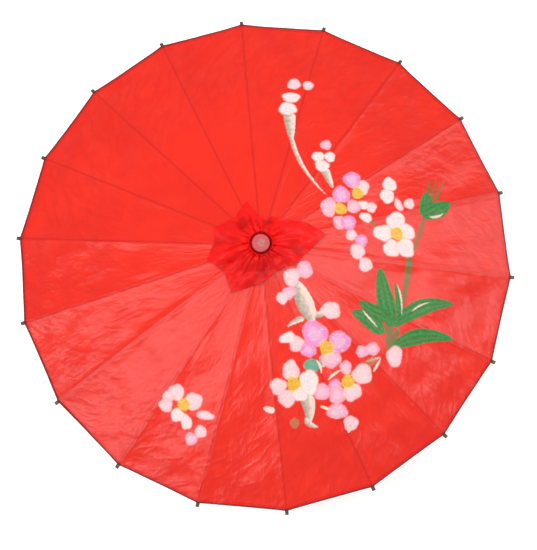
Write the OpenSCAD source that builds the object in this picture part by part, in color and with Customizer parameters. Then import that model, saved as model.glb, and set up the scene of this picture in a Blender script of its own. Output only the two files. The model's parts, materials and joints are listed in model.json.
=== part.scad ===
// Open folding parasol: a turned head and a sliding runner, both slotted and strung on wire,
// bamboo ribs hinged to the head, bamboo stretchers hinged to the ribs and the runner,
// a cloth canopy, a gathered collar round the head and a turned grip.
// The axis of the shaft is +Z, the origin is in the middle of the grip's straight part,
// and the first rib points along +X. The parasol is modelled open.

/* [Canopy] */
// Radius from the shaft's axis to the rib tips
tip_radius = 410; // [330:5:500]
// Slope of the open ribs below the horizontal, in degrees
open_angle = 18; // [14:1:26]
// Slope of the folded ribs below the horizontal, in degrees
closed_angle = 87; // [86:0.5:88]
// Thickness of the cloth canopy
cloth_wall = 0.4; // [0.3:0.1:1]
// Length of bare rib tip beyond the edge of the cloth
bare_tip = 9; // [5:1:15]
// Radius of the hole in the canopy round the head's neck
canopy_hole_radius = 16.8; // [16.6:0.1:20]
// Radius of the cord sewn round the edge of the canopy
hem_cord_radius = 0.8; // [0.5:0.1:1.2]

/* [Ribs and stretchers] */
// Number of ribs, and of stretchers
rib_count = 18; // [16:1:18]
// Thickness of a rib, from the cloth to the shaft side
rib_depth = 4; // [3:0.1:5]
// Width of a rib next to the head
rib_width_in = 4.4; // [3.6:0.1:4.6]
// Width of a rib at its tip
rib_width_out = 5.6; // [4:0.1:8]
// Distance along a rib from the head's wire to the stretcher's pin
joint_distance = 165; // [130:1:190]
// Width of a stretcher
stretcher_width = 2.6; // [2:0.1:2.8]
// Thickness of a stretcher
stretcher_depth = 3.2; // [2.4:0.1:3.4]
// Width of the thin tongues at the inner end of a rib and at both ends of a stretcher
tongue_width = 1.8; // [1.4:0.1:2]

/* [Hinges] */
// Radius of the circle on which the hinge wires lie, in the head and in the runner
wire_circle_radius = 14; // [13.5:0.1:18]
// Radius of the hinge wire
wire_radius = 0.6; // [0.4:0.05:0.8]
// Radius of the pin between a rib and its stretcher
pin_radius = 0.8; // [0.6:0.05:1]
// Radial clearance between a wire or pin and the eye that turns on it
eye_clearance = 0.1; // [0.05:0.01:0.15]
// Clearance on each side of a tongue in its slot
slot_clearance = 0.2; // [0.1:0.05:0.3]

/* [Shaft and grip] */
// Radius of the shaft
shaft_radius = 6; // [5:0.1:7]
// Length from the bottom of the grip to the top of the head
total_length = 560; // [540:5:700]
// Radial clearance between the shaft and the runner that slides on it
runner_clearance = 0.25; // [0.15:0.05:0.4]
// Radius of the grip
grip_radius = 9; // [8:0.5:14]
// Length of the straight lower part of the grip
grip_straight = 74; // [60:1:100]
// Length of the tapered and beaded upper part of the grip
grip_taper = 26; // [20:1:40]

/* [Head and runner] */
// Outer radius of the slotted flange on the head
head_flange_radius = 17; // [16.5:0.1:22]
// Radius of the head's bare neck, above the cloth
neck_radius = 12.8; // [12:0.1:14]
// Height of the head above its hinge wire
neck_height = 26; // [22:1:34]
// Outer radius of the slotted flange on the runner
runner_flange_radius = 17.5; // [16.5:0.1:22]
// Radius of the runner's sleeve
runner_sleeve_radius = 11; // [9.5:0.1:12]
// Length of the runner below its hinge wire
runner_length = 42; // [30:1:50]

/* [Collar] */
// Radius of the gathered cloth collar on top of the canopy
collar_radius = 96; // [60:1:110]
// Height that the collar's folds stand above the canopy
collar_loft = 9; // [5:0.5:14]
// Thickness of the collar's folded cloth
collar_wall = 2.5; // [1.5:0.1:4]
// Radius of the thread that ties the collar
tie_radius = 0.8; // [0.5:0.1:1.2]

/* [Catch] */
// Thickness of the catch plate
catch_wall = 1.6; // [1.2:0.1:2]
// Length of the catch from its pin to its step
catch_length = 41; // [34:1:46]
// Height that the catch stands out of the shaft
catch_proud = 3.5; // [2.5:0.1:4]
// Radius of the catch's pin
catch_pin_radius = 0.9; // [0.7:0.1:1.1]
// Thickness of the leaf spring behind the catch
leaf_wall = 0.4; // [0.3:0.05:0.6]

/* [Hidden] */
$fn = 64;
eps = 0.01;
pitch = 360 / rib_count;

// Heights of the fixed points along the shaft
grip_low = -grip_straight / 2;
head_top = grip_low + total_length;
crown_z = head_top - neck_height;
runner_z = crown_z - 2 * joint_distance * sin(open_angle);
runner_bottom = runner_z - runner_length;

// A rib's own frame: x along it from the head's wire, n out of its cloth side
rib_length = (tip_radius - wire_circle_radius) / cos(open_angle);
rib_under = 0.4;
rib_top = rib_under + rib_depth;
eye_wall = 1.6;
rib_eye_radius = wire_radius + eye_clearance + eye_wall;
rib_tongue_length = 10;
cheek_length = 5;
cheek_low = -2.2;
joint_slot_reach = 8.5;
joint_slot_top = 2.6;
press_gap = 0.01;

// A stretcher's own frame: u along it from the rib's pin, v away from the folded rib
stretcher_eye_radius = 1.8;
stretcher_tongue_length = 9;
stretcher_low = 0.2;
stretcher_high = stretcher_low + stretcher_depth;

slot_width = tongue_width + 2 * slot_clearance;
groove_half = wire_radius + 0.2;
groove_radius = wire_circle_radius - groove_half;
head_slot_floor = wire_circle_radius - rib_eye_radius - 0.5;
head_slot_low = 7;
head_slot_high = 6;
runner_slot_floor = wire_circle_radius - stretcher_high - 0.4;
runner_slot_low = stretcher_eye_radius + 0.4;
runner_top = 3;

cloth_gap = 0.25;
cloth_low = rib_top + cloth_gap;
cloth_high = cloth_low + cloth_wall;
cloth_inner = (canopy_hole_radius - wire_circle_radius - cloth_low * sin(open_angle)) / cos(open_angle);
cloth_outer = rib_length - bare_tip;
hem_gap = 0.3;

waist_z = 16;
waist_half = 2;
waist_wall = 1.6;
collar_inside = neck_radius + 0.3;
collar_gap = 0.6;

catch_slot_width = catch_wall + 2 * slot_clearance;
catch_step_z = runner_bottom - 0.5;
catch_pin_z = catch_step_z - catch_length;
catch_eye_radius = catch_pin_radius + 1.3;
catch_reach = shaft_radius + catch_proud;
catch_slot_depth = 4.5;
catch_eye_gap = 0.08;
catch_step_slope = 0.8;
leaf_foot = 8;
leaf_contact = 0.75 * catch_length;

bamboo = "burlywood";
wood = "wheat";
wire_colour = "silver";
cloth_colour = "red";

rib_names = [for (i = [1:18]) str("rib_", i < 10 ? "0" : "", i)];
stretcher_names = [for (i = [1:18]) str("stretcher_", i < 10 ? "0" : "", i)];

// Radius and height, in the open parasol, of the point (x, n) of a rib's own frame
function rib_r(x, n) = wire_circle_radius + x * cos(open_angle) + n * sin(open_angle);
function rib_z(x, n) = crown_z - x * sin(open_angle) + n * cos(open_angle);
// Height of the canopy's upper side above radius r, along a rib
function canopy_top(r) = crown_z + cloth_high / cos(open_angle) - (r - wire_circle_radius) * tan(open_angle);
// Distance of the catch's inner edge from the shaft's axis, at height z above the catch's pin
function catch_back(z) = let (low = [0.6 - catch_eye_radius, 1.5], high = [shaft_radius - 3.5, catch_length - 4])
    low[0] + (z - low[1]) * (high[0] - low[0]) / (high[1] - low[1]);

// Extrudes a side view in the X-Z plane to a width that is centred on Y
module slab(width) {
    rotate([90, 0, 0]) translate([0, 0, -width / 2]) linear_extrude(width) children();
}

// Radial slots for tongues, from the floor radius outwards
module slots(floor_radius, low, height) {
    for (i = [0:rib_count - 1])
        rotate(i * pitch) translate([floor_radius, -slot_width / 2, low]) cube([40, slot_width, height]);
}

// Ring cut in which a hinge wire lies
module wire_groove() {
    rotate_extrude() translate([groove_radius, -groove_half]) square([40, 2 * groove_half]);
}

module hinge_wire() {
    rotate_extrude() translate([wire_circle_radius, 0]) circle(wire_radius, $fn = 24);
}

// Shaft with the catch's slot and pin hole; its top end is flush with the head
module shaft() {
    color(wood) difference() {
        translate([0, 0, grip_low + 12]) cylinder(r = shaft_radius, h = total_length - 12);
        translate([-catch_slot_width / 2, -2 * shaft_radius, catch_pin_z - catch_eye_radius - 1])
            cube([catch_slot_width, 2 * shaft_radius + catch_slot_depth, catch_length + catch_eye_radius + 3]);
        translate([0, 0, catch_pin_z]) rotate([0, 90, 0])
            cylinder(r = catch_pin_radius, h = 4 * shaft_radius, center = true);
    }
}

// Turned grip: straight below, two beads and a taper above, with a blind socket for the shaft
module grip() {
    beads = grip_low + grip_straight;
    color(wood) rotate_extrude() difference() {
        polygon([
            [0, grip_low], [grip_radius - 1.5, grip_low], [grip_radius, grip_low + 1.5],
            [grip_radius, beads], [grip_radius - 1.2, beads + 1.2], [grip_radius - 1.2, beads + 3],
            [grip_radius, beads + 4.2], [grip_radius, beads + 6], [grip_radius - 1.2, beads + 7.2],
            [grip_radius - 1.2, beads + 9], [grip_radius - 0.2, beads + 10],
            [shaft_radius + 1, beads + grip_taper - 1], [shaft_radius + 0.4, beads + grip_taper],
            [0, beads + grip_taper]
        ]);
        translate([-eps, grip_low + 12]) square([shaft_radius + eps, total_length]);
    }
}

// Turned head: core, slotted flange, and a bare neck with a tying groove
module head() {
    color(wood) difference() {
        translate([0, 0, crown_z]) rotate_extrude() polygon([
            [shaft_radius, -14], [10, -14], [10.8, -13.2], [10.8, -6.4],
            [head_flange_radius - 0.6, -6], [head_flange_radius, -5.4],
            [head_flange_radius, 2.2], [head_flange_radius - 1, 3],
            [neck_radius, 4], [neck_radius, waist_z - 3],
            [neck_radius - 1, waist_z - 2], [neck_radius - 1, waist_z + 2],
            [neck_radius, waist_z + 3], [neck_radius, neck_height - 1.2],
            [neck_radius - 1.2, neck_height], [shaft_radius, neck_height]
        ]);
        translate([0, 0, crown_z]) slots(head_slot_floor, -head_slot_low, head_slot_low + head_slot_high);
        translate([0, 0, crown_z]) wire_groove();
    }
}

module head_wire() {
    color(wire_colour) translate([0, 0, crown_z]) hinge_wire();
}

// Side view of a rib in its own frame: eye, tongue, strip, and the cheeks at the stretcher's pin
module rib_side() {
    circle(rib_eye_radius, $fn = 32);
    polygon([
        [0, -rib_eye_radius], [rib_tongue_length - 3, -1], [rib_tongue_length, rib_under],
        [joint_distance - cheek_length - 3, rib_under], [joint_distance - cheek_length, cheek_low],
        [joint_distance + cheek_length, cheek_low], [joint_distance + cheek_length + 3, rib_under],
        [rib_length - 1, rib_under], [rib_length, rib_under + 0.8],
        [rib_length, rib_top - 0.8], [rib_length - 1, rib_top], [0, rib_top]
    ]);
}

// Plan of a rib: a thin tongue, then a strip that widens to the tip
module rib_plan() {
    translate([-rib_eye_radius - 1, -tongue_width / 2]) square([rib_length / 2, tongue_width]);
    polygon([
        [rib_tongue_length - 1, -tongue_width / 2], [rib_tongue_length + 1, -rib_width_in / 2],
        [rib_length - 1, -rib_width_out / 2], [rib_length + 1, -rib_width_out / 2 + 1],
        [rib_length + 1, rib_width_out / 2 - 1], [rib_length - 1, rib_width_out / 2],
        [rib_tongue_length + 1, rib_width_in / 2], [rib_tongue_length - 1, tongue_width / 2]
    ]);
}

// Pin pressed through the cheeks of a rib
module joint_pin() {
    width = rib_width_in + (rib_width_out - rib_width_in) * joint_distance / rib_length;
    rotate([90, 0, 0]) cylinder(r = pin_radius, h = width - 0.2, center = true, $fn = 24);
}

// Rib number i and its pin, open
module rib(i) {
    color(bamboo) rotate((i - 1) * pitch) translate([wire_circle_radius, 0, crown_z])
        rotate([0, open_angle, 0]) {
            difference() {
                intersection() {
                    slab(rib_width_out + 2) rib_side();
                    translate([0, 0, -20]) linear_extrude(40) rib_plan();
                }
                translate([joint_distance - joint_slot_reach, -slot_width / 2, -20])
                    cube([2 * joint_slot_reach, slot_width, 20 + joint_slot_top]);
                rotate([90, 0, 0])
                    cylinder(r = wire_radius + eye_clearance, h = 20, center = true, $fn = 24);
                translate([joint_distance, 0, 0]) rotate([90, 0, 0])
                    cylinder(r = pin_radius + press_gap, h = 20, center = true, $fn = 24);
            }
            translate([joint_distance, 0, 0]) joint_pin();
        }
}

// Side view of a stretcher in its own frame
module stretcher_side() {
    circle(stretcher_eye_radius, $fn = 32);
    translate([joint_distance, 0]) circle(stretcher_eye_radius, $fn = 32);
    polygon([
        [0, -stretcher_eye_radius], [6, stretcher_low], [joint_distance - 6, stretcher_low],
        [joint_distance, -stretcher_eye_radius], [joint_distance, stretcher_eye_radius],
        [joint_distance - 5, stretcher_high], [5, stretcher_high], [0, stretcher_eye_radius]
    ]);
}

// Plan of a stretcher: a thin tongue at each end of a wider strip
module stretcher_plan() {
    translate([-stretcher_eye_radius - 1, -tongue_width / 2])
        square([joint_distance + 2 * stretcher_eye_radius + 2, tongue_width]);
    polygon([
        [stretcher_tongue_length, -tongue_width / 2],
        [stretcher_tongue_length + 1, -stretcher_width / 2],
        [joint_distance - stretcher_tongue_length - 1, -stretcher_width / 2],
        [joint_distance - stretcher_tongue_length, -tongue_width / 2],
        [joint_distance - stretcher_tongue_length, tongue_width / 2],
        [joint_distance - stretcher_tongue_length - 1, stretcher_width / 2],
        [stretcher_tongue_length + 1, stretcher_width / 2],
        [stretcher_tongue_length, tongue_width / 2]
    ]);
}

// Stretcher number i, open: it runs from the rib's pin in and down to the runner's wire
module stretcher(i) {
    color(bamboo) rotate((i - 1) * pitch)
        translate([rib_r(joint_distance, 0), 0, rib_z(joint_distance, 0)])
        rotate([0, -open_angle, 0]) mirror([1, 0, 0])
        difference() {
            intersection() {
                slab(stretcher_width + 2) stretcher_side();
                translate([0, 0, -20]) linear_extrude(40) stretcher_plan();
            }
            rotate([90, 0, 0]) cylinder(r = pin_radius + eye_clearance, h = 20, center = true, $fn = 24);
            translate([joint_distance, 0, 0]) rotate([90, 0, 0])
                cylinder(r = wire_radius + eye_clearance, h = 20, center = true, $fn = 24);
        }
}

// Turned runner: slotted flange on a sleeve with a lip, bored for the shaft
module runner() {
    bore = shaft_radius + runner_clearance;
    color(wood) difference() {
        translate([0, 0, runner_z]) rotate_extrude() polygon([
            [bore, -runner_length], [runner_sleeve_radius + 0.5, -runner_length],
            [runner_sleeve_radius + 1.5, -runner_length + 1], [runner_sleeve_radius + 1.5, -runner_length + 4],
            [runner_sleeve_radius, -runner_length + 6], [runner_sleeve_radius, -9],
            [runner_flange_radius - 0.6, -5.6], [runner_flange_radius, -5],
            [runner_flange_radius, runner_top - 0.6], [runner_flange_radius - 0.6, runner_top],
            [bore + 0.5, runner_top], [bore, runner_top - 0.5]
        ]);
        translate([0, 0, runner_z]) slots(runner_slot_floor, -runner_slot_low, runner_slot_low + 10);
        translate([0, 0, runner_z]) wire_groove();
    }
}

module runner_wire() {
    color(wire_colour) translate([0, 0, runner_z]) hinge_wire();
}

// Sprung catch in the shaft: its step holds the runner up, and its slope lets the runner pass upwards
module catch() {
    color(wire_colour) translate([0, 0, catch_pin_z]) rotate(-90) slab(catch_wall) difference() {
        union() {
            circle(catch_eye_radius, $fn = 32);
            polygon([
                [0, -catch_eye_radius], [catch_eye_radius, 0], [catch_reach, catch_length - 3],
                [catch_reach, catch_length - catch_step_slope], [shaft_radius - 2.5, catch_length],
                [catch_back(catch_length - 4), catch_length - 4], [catch_back(1.5), 1.5]
            ]);
        }
        circle(catch_pin_radius + catch_eye_gap, $fn = 24);
    }
}

// Leaf spring in the back of the catch's slot, bent forward to bear on the catch
module catch_spring() {
    wall = -catch_slot_depth;
    bend = leaf_foot + 10;
    tip = catch_back(leaf_contact) - 0.1;
    color(wire_colour) translate([0, 0, catch_pin_z]) rotate(-90) slab(catch_wall) polygon([
        [wall, leaf_foot], [wall + leaf_wall, leaf_foot], [wall + leaf_wall, bend],
        [tip, leaf_contact], [tip - leaf_wall, leaf_contact + 1], [wall, bend + 1]
    ]);
}

module catch_pin() {
    color(wire_colour) translate([0, 0, catch_pin_z]) rotate([0, 90, 0])
        cylinder(r = catch_pin_radius, h = 2 * shaft_radius - 1, center = true, $fn = 24);
}

// Cloth canopy: flat gores between straight lines over the ribs
module canopy() {
    ring = function (x, n) [for (i = [0:rib_count - 1])
        [rib_r(x, n) * cos(i * pitch), rib_r(x, n) * sin(i * pitch), rib_z(x, n)]];
    c = rib_count;
    band = function (a, b) [for (i = [0:c - 1]) each [
        [a * c + i, b * c + i, b * c + (i + 1) % c],
        [a * c + i, b * c + (i + 1) % c, a * c + (i + 1) % c]
    ]];
    color(cloth_colour) polyhedron(
        points = concat(ring(cloth_inner, cloth_high), ring(cloth_outer, cloth_high),
                        ring(cloth_outer, cloth_low), ring(cloth_inner, cloth_low)),
        faces = concat(band(1, 0), band(2, 1), band(3, 2), band(0, 3))
    );
}

// Cord sewn along the canopy's edge, straight from rib to rib
module hem_cord() {
    sides = 8;
    along = cloth_outer + hem_cord_radius + hem_gap;
    lift = rib_top + hem_gap + hem_cord_radius;
    r0 = rib_r(along, lift);
    z0 = rib_z(along, lift);
    color("saddlebrown") polyhedron(
        points = [for (i = [0:rib_count - 1], k = [0:sides - 1])
            let (r = r0 + hem_cord_radius * cos(k * 360 / sides), z = z0 + hem_cord_radius * sin(k * 360 / sides))
            [r * cos(i * pitch), r * sin(i * pitch), z]],
        faces = [for (i = [0:rib_count - 1], k = [0:sides - 1])
            let (j = (i + 1) % rib_count, l = (k + 1) % sides)
            each [[i * sides + k, i * sides + l, j * sides + l], [i * sides + k, j * sides + l, j * sides + k]]]
    );
}

// Gathered collar: tied to the neck at its waist and spread over the top of the canopy
module collar() {
    middle = collar_radius / 2;
    shoulder = neck_radius + 10;
    shoulder_z = crown_z + waist_z - 4;
    color(cloth_colour) rotate_extrude() polygon([
        [collar_inside, shoulder_z], [shoulder - collar_wall, shoulder_z - collar_wall],
        [middle, canopy_top(middle) + collar_loft - collar_wall],
        [collar_radius, canopy_top(collar_radius) + collar_gap],
        [collar_radius, canopy_top(collar_radius) + collar_gap + collar_wall],
        [middle, canopy_top(middle) + collar_loft],
        [shoulder, shoulder_z], [collar_inside + waist_wall, crown_z + waist_z - waist_half],
        [collar_inside + waist_wall, crown_z + waist_z + waist_half],
        [collar_inside + waist_wall + 2, crown_z + waist_z + waist_half + 2],
        [collar_inside, crown_z + waist_z + waist_half + 2]
    ]);
}

// Two turns of thread round the collar's waist
module collar_tie() {
    ring = collar_inside + waist_wall + tie_radius + 0.1;
    color("saddlebrown") for (side = [-1, 1])
        translate([0, 0, crown_z + waist_z + side * (tie_radius + 0.05)])
            rotate_extrude() translate([ring, 0]) circle(tie_radius, $fn = 24);
}

shaft();
grip();
head();
head_wire();
for (i = [1:rib_count])
    rib(i);
for (i = [1:rib_count])
    stretcher(i);
runner();
runner_wire();
catch();
catch_pin();
catch_spring();
canopy();
hem_cord();
collar();
collar_tie();
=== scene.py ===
"""A folding cloth parasol: painted red canopy, gathered collar, bamboo frame and turned woodwork.

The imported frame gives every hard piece. This script dresses those pieces and adds the cloth: thirty-six
half gores that share one painting, a corded hem, a crumpled collar, and the threads that hold them.
"""
from __future__ import annotations

import json
import logging
import math
from dataclasses import dataclass, field
from enum import Enum
from typing import Any, Callable, Iterable, Union

import bmesh
import bpy
import numpy as np
from mathutils import Matrix, Vector

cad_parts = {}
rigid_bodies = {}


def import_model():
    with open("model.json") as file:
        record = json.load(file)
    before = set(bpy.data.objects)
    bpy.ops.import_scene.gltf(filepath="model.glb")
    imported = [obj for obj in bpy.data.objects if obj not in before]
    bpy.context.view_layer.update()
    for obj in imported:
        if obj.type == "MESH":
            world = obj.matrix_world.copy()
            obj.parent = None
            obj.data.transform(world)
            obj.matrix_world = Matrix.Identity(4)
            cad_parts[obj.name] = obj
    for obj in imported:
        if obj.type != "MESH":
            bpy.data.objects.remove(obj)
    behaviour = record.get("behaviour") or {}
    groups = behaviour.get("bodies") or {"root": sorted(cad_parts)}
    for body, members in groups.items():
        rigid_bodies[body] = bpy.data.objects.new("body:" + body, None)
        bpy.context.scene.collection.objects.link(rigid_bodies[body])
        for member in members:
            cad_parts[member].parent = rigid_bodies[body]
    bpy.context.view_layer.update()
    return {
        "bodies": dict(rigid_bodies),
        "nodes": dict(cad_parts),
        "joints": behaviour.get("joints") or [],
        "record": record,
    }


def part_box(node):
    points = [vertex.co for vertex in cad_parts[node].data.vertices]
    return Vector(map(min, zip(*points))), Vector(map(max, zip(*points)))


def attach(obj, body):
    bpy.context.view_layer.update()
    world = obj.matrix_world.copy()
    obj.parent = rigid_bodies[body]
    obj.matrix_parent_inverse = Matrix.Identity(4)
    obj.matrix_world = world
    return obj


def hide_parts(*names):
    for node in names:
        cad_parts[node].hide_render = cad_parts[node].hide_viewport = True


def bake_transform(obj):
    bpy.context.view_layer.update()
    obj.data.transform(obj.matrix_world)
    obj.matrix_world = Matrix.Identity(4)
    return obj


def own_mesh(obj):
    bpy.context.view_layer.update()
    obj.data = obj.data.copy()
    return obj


log = logging.getLogger("parasol")

MM = 0.001
Colour = tuple[float, float, float, float]
Points = np.ndarray
WHITE: Colour = (1.0, 1.0, 1.0, 1.0)


def tone(red: int, green: int, blue: int) -> Colour:
    """Return the linear colour of three display values.

    Args:
        red: Display red, 0 to 255.
        green: Display green, 0 to 255.
        blue: Display blue, 0 to 255.

    Returns:
        The linear colour, opaque.
    """
    def linear(value: int) -> float:
        """Return the linear share of one display value."""
        share = value / 255
        return share / 12.92 if share <= 0.04045 else ((share + 0.055) / 1.055) ** 2.4

    return linear(red), linear(green), linear(blue), 1.0


def smooth(low: float, high: float, values: Points) -> Points:
    """Return a smooth step of values, 0 at low and 1 at high.

    Args:
        low: Where the step starts.
        high: Where the step ends.
        values: What is stepped.

    Returns:
        The stepped values, from 0 to 1.
    """
    share = np.clip((values - low) / (high - low), 0.0, 1.0)
    return share * share * (3 - 2 * share)


# --------------------------------------------------------------------------------------------------
# Shader maths
# --------------------------------------------------------------------------------------------------


class Wire:
    """An output of a shader node, which Python's operators can combine."""

    def __init__(self, bench: "Bench", socket: bpy.types.NodeSocket | None) -> None:
        """Wrap one socket of the bench's node tree."""
        self.bench = bench
        self.socket = socket

    def __add__(self, other: "Amount") -> "Wire":
        """Return the sum."""
        return self.bench.math("ADD", self, other)

    __radd__ = __add__

    def __mul__(self, other: "Amount") -> "Wire":
        """Return the product."""
        return self.bench.math("MULTIPLY", self, other)

    __rmul__ = __mul__

    def __sub__(self, other: "Amount") -> "Wire":
        """Return the difference."""
        return self.bench.math("SUBTRACT", self, other)

    def __rsub__(self, other: "Amount") -> "Wire":
        """Return the difference, reflected."""
        return self.bench.math("SUBTRACT", other, self)

    def __truediv__(self, other: "Amount") -> "Wire":
        """Return the quotient."""
        return self.bench.math("DIVIDE", self, other)

    def __abs__(self) -> "Wire":
        """Return the size without its sign."""
        return self.bench.math("ABSOLUTE", self)


Amount = Union[Wire, float]


class Bench:
    """A material under construction."""

    def __init__(self, name: str) -> None:
        """Start an empty material of that name."""
        self.material = bpy.data.materials.new(name)
        self.material.use_nodes = True
        self.tree = self.material.node_tree
        self.tree.nodes.clear()

    def node(
        self,
        kind: str,
        settings: dict[str, Any] | None = None,
        sockets: dict[Any, Any] | None = None,
        out: int | str = 0,
    ) -> Wire:
        """Add a node.

        Args:
            kind: The node's type.
            settings: Properties, set before the sockets. "stops" are a ramp's (place, colour) pairs.
            sockets: Values or wires for the input sockets, by name or index.
            out: The output that is returned.

        Returns:
            The wire from that output.
        """
        made = self.tree.nodes.new(kind)
        for key, value in (settings or {}).items():
            if key == "stops":
                elements = made.color_ramp.elements
                while len(elements) < len(value):
                    elements.new(0.5)
                for element, (place, colour) in zip(elements, value):
                    element.position, element.color = place, colour
            else:
                setattr(made, key, value)
        for key, value in (sockets or {}).items():
            if isinstance(value, Wire):
                self.tree.links.new(value.socket, made.inputs[key])
            else:
                made.inputs[key].default_value = value
        return Wire(self, made.outputs[out] if made.outputs else None)

    def math(self, operation: str, *amounts: Amount) -> Wire:
        """Add a Math node on the amounts."""
        return self.node("ShaderNodeMath", {"operation": operation}, dict(enumerate(amounts)))

    def polar(self, x: Wire, y: Wire) -> tuple[Wire, Wire]:
        """Return the distance from the axis and the angle round it."""
        return self.math("SQRT", x * x + y * y), self.math("ARCTAN2", y, x)

    def beside_rib(self, radius: Wire, angle: Wire, pitch: float) -> tuple[Wire, Wire]:
        """Return the nearest rib's place in the ring, and the distance to the side of its line."""
        turns = angle / pitch
        nearest = self.math("ROUND", turns)
        return nearest, (turns - nearest) * pitch * radius

    def step(self, low: float, high: float, value: Wire) -> Wire:
        """Return a smooth step of the value, 0 at low and 1 at high."""
        return self.node(
            "ShaderNodeMapRange", {"interpolation_type": "SMOOTHSTEP"},
            {"Value": value, "From Min": low, "From Max": high},
        )

    def mix(self, share: Amount, first: Any, second: Any) -> Wire:
        """Return the mix of two colours, by share."""
        return self.node(
            "ShaderNodeMix", {"data_type": "RGBA"}, {0: share, 6: first, 7: second}, out=2
        )

    def ramp(self, value: Wire, *stops: tuple[float, Colour]) -> Wire:
        """Return a colour ramp over the value."""
        return self.node("ShaderNodeValToRGB", {"stops": stops}, {0: value})

    def vector(self, x: Amount, y: Amount, z: Amount = 0.0) -> Wire:
        """Return a vector of three amounts."""
        return self.node("ShaderNodeCombineXYZ", None, {0: x, 1: y, 2: z})

    def parts(self, vector: Wire) -> tuple[Wire, Wire, Wire]:
        """Return the three amounts of a vector."""
        first = self.node("ShaderNodeSeparateXYZ", None, {0: vector})
        outputs = first.socket.node.outputs
        return first, Wire(self, outputs[1]), Wire(self, outputs[2])

    def noise(self, vector: Wire, scale: float, detail: float = 2.0, rough: float = 0.5) -> Wire:
        """Return noise from 0 to 1 at the vector."""
        return self.node(
            "ShaderNodeTexNoise", None,
            {"Vector": vector, "Scale": scale, "Detail": detail, "Roughness": rough},
        )

    def place(self) -> Wire:
        """Return the point in the piece's own space."""
        return self.node("ShaderNodeTexCoord", None, None, out="Object")

    def facing(self) -> Wire:
        """Return the normal in the piece's own space."""
        return self.node("ShaderNodeTexCoord", None, None, out="Normal")

    def attribute(self, name: str) -> Wire:
        """Return a number that the mesh carries at its points."""
        return self.node("ShaderNodeAttribute", {"attribute_name": name}, None, out="Fac")

    def bump(self, height: Wire, depth: float, below: Wire | None = None) -> Wire:
        """Return the normal that a height map gives, on top of another bump if there is one."""
        sockets: dict[Any, Any] = {"Height": height, "Distance": depth, "Strength": 1.0}
        if below is not None:
            sockets["Normal"] = below
        return self.node("ShaderNodeBump", None, sockets)

    def shader(self, sockets: dict[str, Any]) -> Wire:
        """Return the main shader with these sockets set."""
        return self.node("ShaderNodeBsdfPrincipled", None, sockets, out="BSDF")

    def finish(self, surface: Wire) -> bpy.types.Material:
        """Close the material with its surface and return it."""
        self.node("ShaderNodeOutputMaterial", None, {"Surface": surface})
        return self.material


# --------------------------------------------------------------------------------------------------
# The frame's own sizes
# --------------------------------------------------------------------------------------------------


@dataclass(frozen=True)
class Skeleton:
    """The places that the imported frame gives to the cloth.

    Attributes:
        hinge_radius: Radius of the circle of rib hinges.
        crown: Height of the rib hinges.
        slope: Angle of the open ribs below the horizontal, in radians.
        lift: Height of the cloth above a rib's hinge line, square to the rib.
        start: Distance along a rib from its hinge to the cloth's inner edge.
        edge: Distance along a rib from its hinge to the cloth's outer edge.
        tip: Radius of the rib tips.
        count: Number of ribs.
    """

    hinge_radius: float
    crown: float
    slope: float
    lift: float
    start: float
    edge: float
    tip: float
    count: int

    @classmethod
    def read(cls, frame: dict[str, Any]) -> "Skeleton":
        """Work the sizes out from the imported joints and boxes.


        Returns:
            The skeleton at rest.
        """
        joints = {joint["name"]: joint for joint in frame["joints"]}
        crown = Vector(joints["canopy_fold"]["pos_m"])
        elbow = Vector(joints["stretcher_01_fold"]["pos_m"])
        slope = math.atan2(crown.z - elbow.z, elbow.x - crown.x)
        low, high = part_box("canopy")
        run, drop = high.x - crown.x, low.z - crown.z
        edge = run * math.cos(slope) - drop * math.sin(slope)
        lift = run * math.sin(slope) + drop * math.cos(slope)
        start = (lift * math.cos(slope) - (high.z - crown.z)) / math.sin(slope)
        ribs = [name for name in frame["nodes"] if name.startswith("rib_")]
        return cls(crown.x, crown.z, slope, lift, start, edge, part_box("rib_01")[1].x, len(ribs))

    @property
    def pitch(self) -> float:
        """Angle between neighbouring ribs, in radians."""
        return 2 * math.pi / self.count

    def turn(self, number: int) -> float:
        """Angle of rib number 1, 2, ... round the shaft, in radians."""
        return (number - 1) * self.pitch

    def radius(self, along: Points, lift: float) -> Points:
        """Distance from the shaft's axis of points on a rib's own lines."""
        return self.hinge_radius + along * math.cos(self.slope) + lift * math.sin(self.slope)

    def height(self, along: Points, lift: float) -> Points:
        """Height of points on a rib's own lines."""
        return self.crown - along * math.sin(self.slope) + lift * math.cos(self.slope)

    def cloth_height(self, radius: Points) -> Points:
        """Height of the open canopy above the radius, along a rib."""
        rise = self.lift / math.cos(self.slope)
        return self.crown + rise - (radius - self.hinge_radius) * math.tan(self.slope)

    def out(self, number: int) -> Vector:
        """Unit vector from the axis along rib number 1, 2, ... in plan."""
        return Vector((math.cos(self.turn(number)), math.sin(self.turn(number)), 0))

    def beside(self, number: int) -> Vector:
        """Unit vector square to rib number 1, 2, ... in plan, to its left."""
        return Vector((-math.sin(self.turn(number)), math.cos(self.turn(number)), 0))


# --------------------------------------------------------------------------------------------------
# The painting on the cloth
# --------------------------------------------------------------------------------------------------


class Tint(Enum):
    """Paint colours of petals, as places on the petal ramp."""

    WHITE = 0.0
    BLUSH = 0.35
    PINK = 0.65
    ORCHID = 1.0


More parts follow.
